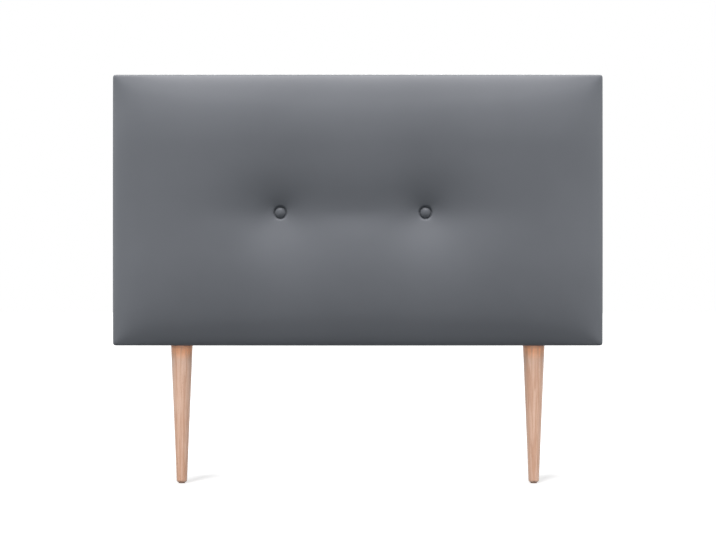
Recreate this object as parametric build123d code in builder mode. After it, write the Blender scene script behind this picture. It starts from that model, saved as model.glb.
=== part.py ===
# A button-tufted headboard: an upholstered panel on two turned legs that screw into its frame.
# X runs across it, Y from its front to the wall and Z up, in millimetres.
# The origin is on the floor, under the middle of the whole object.

import os
from math import asin, cos

from build123d import *

os.makedirs("parts", exist_ok=True)

# Panel, over its cover
panel_width = 1000.0
panel_height = 553.0
panel_corner = 5.5
underside_height = 283.0

# Battens of the frame
batten_depth = 40.0
batten_width = 30.0

# Board on the front of the frame
board_thickness = 3.0

# Foam pad: a short side wall, a rolled edge, then a crown that levels out towards the middle
foam_side_depth = 6.0
foam_crown_depth = 36.0
crown_reach_share = 0.27
crown_inset_shares = (0.0, 0.005, 0.02, 0.06, 0.12, 0.22, 0.4, 0.67, 1.0)
crown_fullness = 0.4

# Tufts: the foam left under a button, and the dish round it in two arcs
tuft_floor = 8.0
tuft_radius = 140.0
tuft_shoulder_radius = 55.0
tuft_shoulder_share = 0.45
tuft_lip_bow_share = 0.25
tuft_wall_bow_share = 0.06

# Cover and the cloth over the back
cover_thickness = 1.2
cover_gap = 0.3
flap_width = 30.0
cloth_thickness = 0.5
cloth_inset = 10.0

# Button row, a little left of the middle and below it
button_spacing_share = 0.296
button_row_shift = -10.0
button_row_drop = 5.3

# Covered button, its back plate and its wire eye
button_radius = 11.5
button_rim = 2.6
button_height = 7.4
button_wall = 1.2
back_plate_thickness = 1.0
back_plate_gap = 0.05
eye_radius = 3.2
eye_wire = 0.6
eye_reach = 5.6

# Twine, from the eye through foam and board to a toggle behind the board
twine_radius = 0.8
twine_loop_radius = 2.0
twine_loop_slack = 0.4
twine_clearance = 0.4
knot_radius = 2.5
knot_length = 3.0
toggle_radius = 12.0
toggle_thickness = 3.0

# Legs
leg_inset = 139.0
leg_top_radius = 22.4
leg_foot_radius = 10.7
leg_foot_round = 4.6
leg_top_round = 0.8
leg_axis_inset = 22.0

# Nail-in glide under each leg
glide_radius = 6.6
glide_height = 2.0
glide_edge = 0.5
nail_radius = 1.1
nail_length = 18.0
nail_head_radius = 2.8
nail_head_height = 0.8
nail_recess = 0.4

# Hanger bolt in each leg, and the tee nut that it screws into
bolt_radius = 4.0
bolt_proud = 2.0
bolt_chamfer = 0.8
bolt_wood_radius = 3.6
bolt_wood_length = 32.0
bolt_point = 5.0
bolt_point_radius = 0.6
bolt_hole_clearance = 0.7
tee_nut_flange_radius = 11.0
tee_nut_flange = 1.5
tee_nut_barrel_radius = 5.0
tee_nut_barrel = 11.0
tee_nut_prongs = 4
tee_nut_prong_length = 8.0
tee_nut_prong_width = 3.4
tee_nut_prong_thickness = 1.1

# Clearances
running_clearance = 0.05
hole_clearance = 0.05

# Screws through the rails into the stiles
frame_screw_radius = 2.25
frame_screw_head = 4.5
frame_screw_head_height = 2.6
frame_screw_length = 60.0
frame_screw_spread = 18.0
frame_screw_point = 5.0
frame_screw_tip = 0.4

# Keyhole plates that hang the panel on two wall screws, with their own screws
hanger_inset = 200.0
hanger_width = 60.0
hanger_height = 24.0
hanger_thickness = 2.0
hanger_corner = 4.0
keyhole_radius = 5.0
keyhole_slot_radius = 2.5
keyhole_travel = 9.0
pocket_radius = 6.5
pocket_depth = 12.0
hanger_screw_spread = 44.0
hanger_screw_radius = 2.0
hanger_screw_head = 3.9
hanger_screw_head_height = 1.8
hanger_screw_length = 22.0
hanger_screw_point = 4.0
hanger_screw_tip = 0.4

# Staples: board to frame, cover to frame and cloth to frame
staple_crown_width = 10.0
staple_wire_thickness = 0.6
staple_wire_width = 1.2
staple_leg_length = 8.0
board_staple_pitch = 90.0
board_staple_inset = 15.0
cover_staple_pitch = 32.0
cover_staple_inset = 23.0
cloth_staple_pitch = 48.0
cloth_staple_inset = 15.0
staple_margin = 3.0

# How far a cutting shape runs past what it cuts
overrun = 1.0

# Depths, from the wall forwards
skin = cover_gap + cover_thickness
back_stack = skin + cloth_thickness + hanger_thickness
front_stack = board_thickness + foam_crown_depth + skin
object_depth = back_stack + batten_depth + front_stack
frame_back = object_depth / 2 - back_stack
frame_middle = frame_back - batten_depth / 2
frame_front = frame_back - batten_depth
board_front = frame_front - board_thickness
flap_back = frame_back + skin
cloth_back = flap_back + cloth_thickness
hanger_back = cloth_back + hanger_thickness

# Widths and heights
frame_width = panel_width - 2 * skin
frame_height = panel_height - 2 * skin
frame_corner = panel_corner - skin
frame_bottom = underside_height + skin
frame_top = frame_bottom + frame_height
panel_middle = underside_height + panel_height / 2
stile_height = frame_height - 2 * batten_width
stile_offset = (frame_width - batten_width) / 2
top_rail_middle = frame_top - batten_width / 2
bottom_rail_middle = frame_bottom + batten_width / 2
bottom_rail_top = frame_bottom + batten_width

# Places of the buttons, legs and hangers
button_line = panel_middle - button_row_drop
button_spacing = panel_width * button_spacing_share
button_places = {
    "left": button_row_shift - button_spacing / 2,
    "right": button_row_shift + button_spacing / 2,
}
leg_places = {"left": leg_inset - panel_width / 2, "right": panel_width / 2 - leg_inset}
leg_axis = frame_back - leg_axis_inset
hanger_places = {"left": hanger_inset - panel_width / 2, "right": panel_width / 2 - hanger_inset}

# The crown's reach, the button's seat, and the holes for its eye and twine
crown_reach = panel_height * crown_reach_share
tuft_depth = foam_crown_depth - tuft_floor
button_seat = board_front - tuft_floor - skin
twine_hole = twine_radius + twine_clearance
tuft_hole = max(eye_radius + eye_wire, twine_loop_radius + twine_radius) + twine_clearance

# Solids that stand on a level plane, and ones that hang from it
downwards = (Align.CENTER, Align.CENTER, Align.MAX)
upwards = (Align.CENTER, Align.CENTER, Align.MIN)


def facing_front(y, x=0, z=0):
    """A plane across the headboard that looks forwards, its own y upwards."""
    return Plane(origin=(x, y, z), x_dir=(1, 0, 0), z_dir=(0, -1, 0))


def facing_back(y, x=0, z=0):
    """A plane across the headboard that looks at the wall, its own y upwards."""
    return Plane(origin=(x, y, z), x_dir=(-1, 0, 0), z_dir=(0, 1, 0))


def save(part, name):
    """Names a finished piece and writes it."""
    part.label = name
    export_step(part, f"parts/{name}.step")


def countersunk_screws(places, radius, head, head_height, length, point, tip, grow=0):
    """Countersunk screws whose heads' tops are at the places, or their holes when grown."""
    shank = length - point
    with BuildPart() as screws:
        with Locations(*places):
            Cylinder(radius + grow, shank, align=downwards)
            Cone(radius + grow, head + grow, head_height, align=downwards)
            with Locations((0, 0, -shank)):
                Cone(tip + grow, radius + grow, point, align=downwards)
    return screws.part


def frame_screw_set(grow):
    """Two screws over each end of each stile."""
    places = []
    for x in (-stile_offset, 0, stile_offset):
        for y in (frame_middle - frame_screw_spread / 2, frame_middle + frame_screw_spread / 2):
            places.append(Plane(origin=(x, y, frame_top), z_dir=(0, 0, 1)).location)
            places.append(Plane(origin=(x, y, frame_bottom), z_dir=(0, 0, -1)).location)
    return countersunk_screws(
        places,
        frame_screw_radius,
        frame_screw_head,
        frame_screw_head_height,
        frame_screw_length,
        frame_screw_point,
        frame_screw_tip,
        grow,
    )


def hanger_screw_set(grow):
    """Two screws through each keyhole plate."""
    places = []
    for x in hanger_places.values():
        for offset in (-hanger_screw_spread / 2, hanger_screw_spread / 2):
            places.append(facing_back(hanger_back, x + offset, top_rail_middle).location)
    return countersunk_screws(
        places,
        hanger_screw_radius,
        hanger_screw_head,
        hanger_screw_head_height,
        hanger_screw_length,
        hanger_screw_point,
        hanger_screw_tip,
        grow,
    )


def leg_columns(radius, bottom, top):
    """A round column on each leg's axis."""
    with BuildPart() as columns:
        with BuildSketch(Plane.XY.offset(bottom)):
            with Locations(*[(x, leg_axis) for x in leg_places.values()]):
                Circle(radius)
        extrude(amount=top - bottom)
    return columns.part


# Holes that go through more than one piece
frame_screw_holes = frame_screw_set(hole_clearance)
hanger_screw_holes = hanger_screw_set(hole_clearance)
bolt_holes = leg_columns(bolt_radius + bolt_hole_clearance, underside_height - overrun, bottom_rail_top)
barrel_holes = leg_columns(
    tee_nut_barrel_radius + hole_clearance, bottom_rail_top - tee_nut_barrel, bottom_rail_top
)
with BuildPart() as keyhole_pockets:
    with BuildSketch(*[facing_back(hanger_back, x, top_rail_middle) for x in hanger_places.values()]):
        SlotCenterToCenter(keyhole_travel, 2 * pocket_radius, rotation=90)
    extrude(amount=frame_back - pocket_depth - hanger_back)
with BuildPart() as tuft_holes:
    with BuildSketch(facing_front(board_front, z=button_line)):
        with Locations(*[(x, 0) for x in button_places.values()]):
            Circle(tuft_hole)
    extrude(amount=foam_crown_depth)

# Rails, the full width of the frame, their outer corners eased for the cover
for name, rail_middle, outer in (("top_rail", top_rail_middle, -1), ("bottom_rail", bottom_rail_middle, 0)):
    with BuildPart() as rail:
        with BuildSketch(facing_front(frame_back, z=rail_middle)) as rail_face:
            Rectangle(frame_width, batten_width)
            fillet(rail_face.vertices().group_by(Axis.Y)[outer], frame_corner)
        extrude(amount=batten_depth)
        add(frame_screw_holes, mode=Mode.SUBTRACT)
        if name == "top_rail":
            add(hanger_screw_holes, mode=Mode.SUBTRACT)
            add(keyhole_pockets.part, mode=Mode.SUBTRACT)
        else:
            add(bolt_holes, mode=Mode.SUBTRACT)
            add(barrel_holes, mode=Mode.SUBTRACT)
    save(rail.part, name)

# Stiles, between the rails
for name, x in (("left_stile", -stile_offset), ("centre_stile", 0), ("right_stile", stile_offset)):
    with BuildPart() as stile:
        with BuildSketch(facing_front(frame_back, x, panel_middle)):
            Rectangle(batten_width, stile_height)
        extrude(amount=batten_depth)
        add(frame_screw_holes, mode=Mode.SUBTRACT)
    save(stile.part, name)

save(frame_screw_set(0), "frame_screws")

# Board that closes the frame's front, with a hole for each twine
with BuildPart() as front_board:
    with BuildSketch(facing_front(frame_front, z=panel_middle)):
        RectangleRounded(frame_width, frame_height, frame_corner)
        with Locations(*[(x, -button_row_drop) for x in button_places.values()]):
            Circle(twine_hole, mode=Mode.SUBTRACT)
    extrude(amount=board_thickness)
save(front_board.part, "front_board")


def tuft_dish(floor_radius):
    """Half the profile of a tuft's dish: x from the button's axis, y into the pad."""
    shoulder_depth = tuft_depth * tuft_shoulder_share
    wall_fall = tuft_depth - shoulder_depth
    lip = (tuft_radius, 0)
    shoulder = (tuft_shoulder_radius, shoulder_depth)
    floor_edge = (floor_radius, tuft_depth)
    lip_middle = (
        (tuft_radius + tuft_shoulder_radius) / 2,
        shoulder_depth * (1 / 2 - tuft_lip_bow_share),
    )
    wall_middle = (
        (tuft_shoulder_radius + floor_radius) / 2,
        shoulder_depth + wall_fall * (1 / 2 - tuft_wall_bow_share),
    )
    with BuildSketch() as dish:
        with BuildLine():
            Polyline((0, -overrun), (tuft_radius, -overrun), lip)
            ThreePointArc(lip, lip_middle, shoulder)
            ThreePointArc(shoulder, wall_middle, floor_edge)
            Polyline(floor_edge, (0, tuft_depth), (0, -overrun))
        make_face()
    return dish.sketch


def padded_form(grow):
    """The pad's crowned and tufted form on the board, grown at its sides and front."""
    width = frame_width + 2 * grow
    height = frame_height + 2 * grow
    corner = frame_corner + grow
    crown_front = board_front - foam_crown_depth - grow
    dish = tuft_dish(button_radius + grow)
    with BuildPart() as form:
        with BuildSketch(facing_front(board_front, z=panel_middle)):
            RectangleRounded(width, height, corner)
        extrude(amount=foam_side_depth)
        for inset_share in crown_inset_shares:
            rise_share = (1 - (1 - inset_share) ** 2) ** crown_fullness
            level = foam_side_depth + rise_share * (foam_crown_depth + grow - foam_side_depth)
            drawn_in = inset_share * crown_reach
            with BuildSketch(facing_front(board_front - level, z=panel_middle)):
                RectangleRounded(width - 2 * drawn_in, height - 2 * drawn_in, corner + drawn_in / 2)
        loft(ruled=True)
        for x in button_places.values():
            with BuildSketch(Plane(origin=(x, crown_front, button_line))):
                add(dish)
            revolve(axis=Axis((x, crown_front, button_line), (0, 1, 0)), mode=Mode.SUBTRACT)
    return form.part


# Foam pad, with a hole through each tuft for the eye and its twine
foam_form = padded_form(0)
with BuildPart() as foam_pad:
    add(foam_form)
    add(tuft_holes.part, mode=Mode.SUBTRACT)
save(foam_pad.part, "foam_pad")

# Cover: wraps the front and sides, and turns in over the frame's back as a stapled flap
cover_outside = padded_form(skin)
cover_inside = padded_form(cover_gap)
with BuildPart() as cover:
    with BuildSketch(facing_back(board_front, z=panel_middle)):
        RectangleRounded(panel_width, panel_height, panel_corner)
    extrude(amount=flap_back - board_front)
    add(cover_outside)
    with BuildSketch(facing_back(board_front, z=panel_middle)):
        RectangleRounded(
            frame_width + 2 * cover_gap, frame_height + 2 * cover_gap, frame_corner + cover_gap
        )
    extrude(amount=frame_back + cover_gap - board_front, mode=Mode.SUBTRACT)
    add(cover_inside, mode=Mode.SUBTRACT)
    with BuildSketch(facing_back(frame_back, z=panel_middle)):
        Rectangle(panel_width - 2 * flap_width, panel_height - 2 * flap_width)
    extrude(amount=skin + overrun, mode=Mode.SUBTRACT)
    add(tuft_holes.part, mode=Mode.SUBTRACT)
    add(bolt_holes, mode=Mode.SUBTRACT)
    add(hanger_screw_holes, mode=Mode.SUBTRACT)
    add(keyhole_pockets.part, mode=Mode.SUBTRACT)
save(cover.part, "cover")

# Cloth that closes the back
with BuildPart() as back_cloth:
    with BuildSketch(facing_back(flap_back, z=panel_middle)):
        Rectangle(panel_width - 2 * cloth_inset, panel_height - 2 * cloth_inset)
    extrude(amount=cloth_thickness)
    add(hanger_screw_holes, mode=Mode.SUBTRACT)
    add(keyhole_pockets.part, mode=Mode.SUBTRACT)
save(back_cloth.part, "back_cloth")


def run_places(length, pitch):
    """Evenly spaced places along a run, centred, about a pitch apart."""
    count = max(2, round(length / pitch))
    step = length / count
    return [(i + 1 / 2) * step - length / 2 for i in range(count)]


def border_places(inset, pitch):
    """Places and turns of staples round the panel's border, from its middle: (x, z, turn)."""
    half_width = panel_width / 2 - inset
    half_height = panel_height / 2 - inset
    level = [(x, end * half_height, 0) for x in run_places(2 * half_width, pitch) for end in (-1, 1)]
    upright = [(end * half_width, z, 90) for z in run_places(2 * half_height, pitch) for end in (-1, 1)]
    return level + upright


def clear_of_hangers(places):
    """The places that no keyhole plate covers."""
    reach = (hanger_width + staple_crown_width) / 2 + staple_margin
    rail_underside = panel_height / 2 - skin - batten_width
    return [
        (x, z, turn)
        for x, z, turn in places
        if z < rail_underside or min(abs(x - hanger_x) for hanger_x in hanger_places.values()) > reach
    ]


def staples(places, crown_y, facing):
    """Staples whose crowns' outer faces are at a depth, their legs driven in behind them."""
    middle = facing(crown_y, z=panel_middle).location
    with BuildPart() as group:
        with Locations(*[middle * Location((x, z, 0), (0, 0, turn)) for x, z, turn in places]):
            Box(staple_crown_width, staple_wire_width, staple_wire_thickness, align=downwards)
            for end in (-1, 1):
                with Locations((end * (staple_crown_width - staple_wire_thickness) / 2, 0, 0)):
                    Box(staple_wire_thickness, staple_wire_width, staple_leg_length, align=downwards)
    return group.part


board_places = border_places(board_staple_inset, board_staple_pitch)
board_places += [(0, z, 90) for z in run_places(stile_height, board_staple_pitch)]
save(staples(board_places, board_front, facing_front), "board_staples")

cover_places = clear_of_hangers(border_places(cover_staple_inset, cover_staple_pitch))
save(staples(cover_places, flap_back, facing_back), "cover_staples")

cloth_places = clear_of_hangers(border_places(cloth_staple_inset, cloth_staple_pitch))
save(staples(cloth_places, cloth_back + staple_wire_thickness, facing_back), "cloth_staples")

# Keyhole plates: the wall screw's head goes in at the round hole, and its neck slides up the slot
for side, x in hanger_places.items():
    with BuildPart() as hanger:
        with BuildSketch(facing_back(cloth_back, x, top_rail_middle)):
            RectangleRounded(hanger_width, hanger_height, hanger_corner)
            with Locations((0, -keyhole_travel / 2)):
                Circle(keyhole_radius, mode=Mode.SUBTRACT)
            SlotCenterToCenter(keyhole_travel, 2 * keyhole_slot_radius, rotation=90, mode=Mode.SUBTRACT)
        extrude(amount=hanger_thickness)
        add(hanger_screw_holes, mode=Mode.SUBTRACT)
    save(hanger.part, f"{side}_hanger_plate")

save(hanger_screw_set(0), "hanger_screws")


def dome(radius, height):
    """Half the profile of a domed button: x from its axis, y forwards from its seat."""
    rise = height - button_rim
    bend = (radius**2 + rise**2) / (2 * rise)
    turn = asin(radius / bend) / 2
    middle = (radius / (2 * cos(turn)), height - bend * (1 - cos(turn)))
    with BuildSketch() as half:
        with BuildLine():
            Polyline((0, height), (0, 0), (radius, 0), (radius, button_rim))
            ThreePointArc((radius, button_rim), middle, (0, height))
        make_face()
    return half.sketch


cap_outside = dome(button_radius, button_height)
cap_inside = dome(button_radius - button_wall, button_height - button_wall)
for side, x in button_places.items():
    axis = Axis((x, button_seat, button_line), (0, 1, 0))
    outwards = Plane(origin=(x, button_seat, button_line), x_dir=(1, 0, 0), z_dir=(0, 0, -1))

    # Covered cap, open at its back
    with BuildPart() as button:
        with BuildSketch(outwards):
            add(cap_outside)
        revolve(axis=axis)
        with BuildSketch(outwards):
            add(cap_inside)
        revolve(axis=axis, mode=Mode.SUBTRACT)
    save(button.part, f"{side}_button")

    # Back plate pressed into the cap, with the wire eye
    with BuildPart() as button_back:
        with BuildSketch(facing_front(button_seat, x, button_line)):
            Circle(button_radius - button_wall - back_plate_gap)
        extrude(amount=back_plate_thickness)
        with Locations((x, button_seat + eye_reach - eye_radius, button_line)):
            Torus(eye_radius, eye_wire)
    save(button_back.part, f"{side}_button_back")

    # Twine: a loop through the eye, a straight run through foam and board, and a knot
    loop_middle = button_seat + eye_reach + twine_loop_slack
    run_start = loop_middle + twine_loop_radius
    toggle_back = frame_front + toggle_thickness
    with BuildPart() as twine:
        with Locations((x, loop_middle, button_line)):
            Torus(twine_loop_radius, twine_radius, rotation=(0, 90, 0))
        with BuildSketch(facing_back(run_start, x, button_line)):
            Circle(twine_radius)
        extrude(amount=toggle_back + knot_length / 2 - run_start)
        with BuildSketch(facing_back(toggle_back, x, button_line)):
            Circle(knot_radius)
        extrude(amount=knot_length)
        fillet(twine.faces().sort_by(Axis.Y)[-1].edges(), knot_radius / 2)
    save(twine.part, f"{side}_twine")

    # Toggle that spreads the twine's pull over the board
    with BuildPart() as toggle:
        with BuildSketch(facing_back(frame_front, x, button_line)):
            Circle(toggle_radius)
            Circle(twine_hole, mode=Mode.SUBTRACT)
        extrude(amount=toggle_thickness)
        fillet(toggle.faces().sort_by(Axis.Y)[-1].outer_wire().edges(), toggle_thickness / 4)
    save(toggle.part, f"{side}_toggle")

for side, x in leg_places.items():
    # Turned leg: a straight taper with a rounded foot
    with BuildPart() as leg:
        with BuildSketch(facing_front(leg_axis, x)):
            Polygon(
                (0, glide_height),
                (leg_foot_radius, glide_height),
                (leg_top_radius, underside_height),
                (0, underside_height),
                align=None,
            )
        revolve(axis=Axis((x, leg_axis, 0), (0, 0, 1)))
        fillet(leg.faces().sort_by(Axis.Z)[0].edges(), leg_foot_round)
        fillet(leg.faces().sort_by(Axis.Z)[-1].edges(), leg_top_round)
        with Locations((x, leg_axis, underside_height)):
            Cylinder(
                bolt_wood_radius + running_clearance,
                bolt_wood_length + running_clearance,
                align=downwards,
                mode=Mode.SUBTRACT,
            )
        with Locations((x, leg_axis, glide_height)):
            Cylinder(nail_radius + hole_clearance, nail_length, align=upwards, mode=Mode.SUBTRACT)
    save(leg.part, f"{side}_leg")

    # Hanger bolt: machine thread above the leg's top, wood thread in it
    bolt_top = bottom_rail_top + tee_nut_flange + bolt_proud
    with BuildPart() as bolt:
        with Locations((x, leg_axis, underside_height)):
            Cylinder(bolt_radius, bolt_top - underside_height, align=upwards)
        chamfer(bolt.faces().sort_by(Axis.Z)[-1].edges(), bolt_chamfer)
        with Locations((x, leg_axis, underside_height)):
            Cylinder(bolt_wood_radius, bolt_wood_length - bolt_point, align=downwards)
        with Locations((x, leg_axis, underside_height - bolt_wood_length)):
            Cone(bolt_point_radius, bolt_wood_radius, bolt_point, align=upwards)
    save(bolt.part, f"{side}_leg_bolt")

    # Tee nut: its flange on the bottom rail, its barrel and prongs down in the wood
    with BuildPart() as tee_nut:
        with Locations((x, leg_axis, bottom_rail_top)):
            Cylinder(tee_nut_flange_radius, tee_nut_flange, align=upwards)
            Cylinder(tee_nut_barrel_radius, tee_nut_barrel, align=downwards)
            with PolarLocations((tee_nut_flange_radius + tee_nut_barrel_radius) / 2, tee_nut_prongs, 45):
                Box(tee_nut_prong_thickness, tee_nut_prong_width, tee_nut_prong_length, align=downwards)
        with Locations((x, leg_axis, bottom_rail_top + tee_nut_flange)):
            Cylinder(
                bolt_radius + running_clearance,
                tee_nut_flange + tee_nut_barrel,
                align=downwards,
                mode=Mode.SUBTRACT,
            )
    save(tee_nut.part, f"{side}_tee_nut")

    # Glide under the foot, recessed for the head of its nail
    nail_head_top = nail_recess + nail_head_height
    with BuildPart() as glide:
        with Locations((x, leg_axis, 0)):
            Cylinder(glide_radius, glide_height, align=upwards)
        fillet(glide.faces().sort_by(Axis.Z)[0].edges(), glide_edge)
        with Locations((x, leg_axis, 0)):
            Cylinder(
                nail_head_radius + hole_clearance, nail_head_top, align=upwards, mode=Mode.SUBTRACT
            )
            Cylinder(nail_radius + hole_clearance, glide_height, align=upwards, mode=Mode.SUBTRACT)
    save(glide.part, f"{side}_glide")

    with BuildPart() as nail:
        with Locations((x, leg_axis, nail_recess)):
            Cylinder(nail_head_radius, nail_head_height, align=upwards)
            Cylinder(nail_radius, nail_length, align=upwards)
    save(nail.part, f"{side}_glide_nail")
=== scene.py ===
# %% [markdown]
# # A button-tufted headboard
# The headboard is one upholstered panel on two round tapered legs. Its pieces come packed, at
# their real size and place, and this lesson dresses them: it models the skin, the foam, the
# buttons, the threads and the back cloth, and gives every piece a finish of its own. Everything
# is in metres. X runs along the headboard, Y from its front to the wall, and Z up.

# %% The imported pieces
from math import cos, pi, radians, sin

import bmesh
import bpy
import numpy as np
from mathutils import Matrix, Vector


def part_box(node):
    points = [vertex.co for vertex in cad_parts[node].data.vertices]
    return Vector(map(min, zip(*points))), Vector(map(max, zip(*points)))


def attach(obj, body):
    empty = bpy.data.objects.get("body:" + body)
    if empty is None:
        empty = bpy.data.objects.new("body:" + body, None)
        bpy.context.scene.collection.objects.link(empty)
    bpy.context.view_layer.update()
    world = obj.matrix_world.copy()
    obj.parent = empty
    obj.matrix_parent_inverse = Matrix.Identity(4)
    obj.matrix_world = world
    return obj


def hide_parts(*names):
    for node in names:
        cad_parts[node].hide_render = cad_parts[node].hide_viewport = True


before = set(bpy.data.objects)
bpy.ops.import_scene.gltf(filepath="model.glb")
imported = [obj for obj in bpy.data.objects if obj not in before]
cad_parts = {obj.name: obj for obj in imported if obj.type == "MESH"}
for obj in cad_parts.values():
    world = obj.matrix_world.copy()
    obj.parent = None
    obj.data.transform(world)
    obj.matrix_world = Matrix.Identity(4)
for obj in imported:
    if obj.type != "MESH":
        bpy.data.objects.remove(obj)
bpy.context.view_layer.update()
MM = 0.001
print("pieces:", len(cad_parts))

# %% [markdown]
# ## The camera
# The picture is square on, from far away with a long lens, so the panel's edges run straight and
# its top doesn't show. The lens follows from the picture itself: the panel spans 490 of the 716
# pixels across and is a metre wide, so at five metres from its outline the lens is about 123 mm.

# %% The camera
PICTURE_WIDE = 716
PANEL_PIXELS = 489.9
VIEW_DISTANCE = 5.0
FAR_LIMIT = 60.0
BOARD_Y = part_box("front_board")[0].y
SIDE_FOAM = 6.0 * MM
OUTLINE_Y = BOARD_Y - SIDE_FOAM
EYE_HEIGHT = 437.3 * MM
EYE_SIDE = 0.45 * MM

cover_low, cover_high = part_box("cover")
picture_span = (cover_high.x - cover_low.x) * PICTURE_WIDE / PANEL_PIXELS
bpy.ops.object.camera_add(
    location=(EYE_SIDE, OUTLINE_Y - VIEW_DISTANCE, EYE_HEIGHT), rotation=(radians(90), 0, 0)
)
camera = bpy.context.object
camera.name = "camera"
camera.data.lens = camera.data.sensor_width * VIEW_DISTANCE / picture_span
camera.data.clip_end = FAR_LIMIT
bpy.context.scene.camera = camera
print("lens:", round(camera.data.lens, 1), "mm")

# %% [markdown]
# ## Working by hand, in code
# An operator works on whatever is selected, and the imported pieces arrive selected. So each step
# first clears the selection, then picks its own points by their place. These helpers do what the
# mouse does: they pick an object or some of its points, move them, and apply a modifier.


# %% Helpers for modelling
def nothing():
    """Clears the selection."""
    bpy.ops.object.select_all(action="DESELECT")


def only(*objects):
    """Leaves these objects selected, the first one active."""
    nothing()
    for obj in objects:
        obj.select_set(True)
    bpy.context.view_layer.objects.active = objects[0]


def named(name):
    """Names the object that an operator has just made, and puts its place into its mesh."""
    obj = bpy.context.object
    obj.name = obj.data.name = name
    only(obj)
    bpy.ops.object.transform_apply(location=True, rotation=True, scale=True)
    return obj


def points(obj):
    """A mesh's points, as an array with a row for each."""
    rows = np.empty(len(obj.data.vertices) * 3)
    obj.data.vertices.foreach_get("co", rows)
    return rows.reshape(-1, 3)


def put_points(obj, rows):
    """Moves a mesh's points to the rows of an array."""
    obj.data.vertices.foreach_set("co", np.asarray(rows, float).ravel())
    obj.data.update()


def edit(obj, picked="DESELECT"):
    """Opens a mesh for editing, with nothing picked or, with SELECT, all of it."""
    only(obj)
    bpy.ops.object.mode_set(mode="EDIT")
    bpy.ops.mesh.select_mode(type="VERT")
    bpy.ops.mesh.select_all(action=picked)


def done():
    """Closes the mesh that is open."""
    bpy.ops.object.mode_set(mode="OBJECT")


def done_outwards():
    """Turns all faces of the open mesh outwards, and closes it."""
    bpy.ops.mesh.select_all(action="SELECT")
    bpy.ops.mesh.normals_make_consistent(inside=False)
    done()


def pick(kind, inside):
    """Picks the faces, edges or points of the open mesh that pass a test."""
    bpy.ops.mesh.select_mode(type=kind)
    bpy.ops.mesh.select_all(action="DESELECT")
    mesh = bmesh.from_edit_mesh(bpy.context.object.data)
    for item in {"VERT": mesh.verts, "EDGE": mesh.edges, "FACE": mesh.faces}[kind]:
        item.select_set(bool(inside(item)))
    mesh.select_flush_mode()
    bmesh.update_edit_mesh(bpy.context.object.data)


def move_picked(rule):
    """Moves each picked point of the open mesh to where a rule sends it."""
    mesh = bmesh.from_edit_mesh(bpy.context.object.data)
    for point in mesh.verts:
        if point.select:
            point.co = rule(point.co)
    bmesh.update_edit_mesh(bpy.context.object.data)


def extrude_edges(*rules):
    """Extrudes the picked edges once for each rule, and moves the new points by it."""
    for rule in rules:
        bpy.ops.mesh.extrude_edges_move()
        move_picked(rule)


def apply_modifier(obj, kind, **settings):
    """Adds a modifier, sets it and puts its result into the mesh."""
    only(obj)
    modifier = obj.modifiers.new(kind.lower(), kind)
    for key, value in settings.items():
        setattr(modifier, key, value)
    bpy.ops.object.modifier_apply(modifier=modifier.name)


def smooth(obj, angle=40):
    """Shades a piece smooth, but for edges sharper than an angle in degrees."""
    only(obj)
    bpy.ops.object.shade_smooth_by_angle(angle=radians(angle))


def copy_of(obj, name):
    """A copy of an object with a mesh of its own."""
    only(obj)
    bpy.ops.object.duplicate()
    return named(name)


def joined(name, *objects):
    """Joins objects into one."""
    only(*objects)
    bpy.ops.object.join()
    return named(name)


def moved(obj, x=0.0, y=0.0, z=0.0):
    """Moves a piece in its mesh, and leaves its object where it is."""
    put_points(obj, points(obj) + (x, y, z))
    return obj


def report(obj):
    """Prints a piece's triangles and size."""
    obj.data.calc_loop_triangles()
    size = [round(float(side) / MM, 1) for side in np.ptp(points(obj), axis=0)]
    print(obj.name, "has", len(obj.data.loop_triangles), "triangles and spans", size, "mm")


# %% [markdown]
# ## The form under the skin
# The pad is a slab of foam with a rolled edge. It rises steeply from the panel's outline, then
# levels out a hand's width in. Each button pulls a wide dish into it, steeper below than above,
# and the skin stretched from one button to the other leaves a shallow valley between them. Each
# of these is one formula over the panel's face, so the face can start as a plain grid.

# %% How high the face stands
PANEL_HALF_WIDE = (cover_high.x - cover_low.x) / 2
PANEL_LOW, PANEL_HIGH = cover_low.z, cover_high.z
PANEL_HALF_HIGH = (PANEL_HIGH - PANEL_LOW) / 2
PANEL_MIDDLE = (PANEL_HIGH + PANEL_LOW) / 2
BUTTON_BOXES = [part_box(node) for node in ("left_button", "right_button")]
BUTTON_X = [(low.x + high.x) / 2 for low, high in BUTTON_BOXES]
BUTTON_Z = (BUTTON_BOXES[0][0].z + BUTTON_BOXES[0][1].z) / 2
BUTTON_BACK_Y = BUTTON_BOXES[0][1].y

CROWN_RISE = 28.8 * MM
LOWER_SAG, SAG_DROP, SAG_REACH = 3.4 * MM, 15.0 * MM, 45.0 * MM
# How far in from the edge the crown levels out, and how full its shoulder is
TOP_CROWN = (141.6 * MM, 0.705)
BOTTOM_CROWN = (185.6 * MM, 0.645)
SIDE_CROWN = (171.3 * MM, 0.557)
# The skin's turn over the panel's edge, and a fuller place in the stuffing at the right
EDGE_ROLL, ROLL_REACH = 3.0 * MM, 4.0 * MM
FULL_RISE, FULL_X, FULL_Z = 1.6 * MM, 458.0 * MM, 450.0 * MM
FULL_REACH, FULL_INSET = (120.0 * MM, 90.0 * MM), 20.0 * MM
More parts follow.
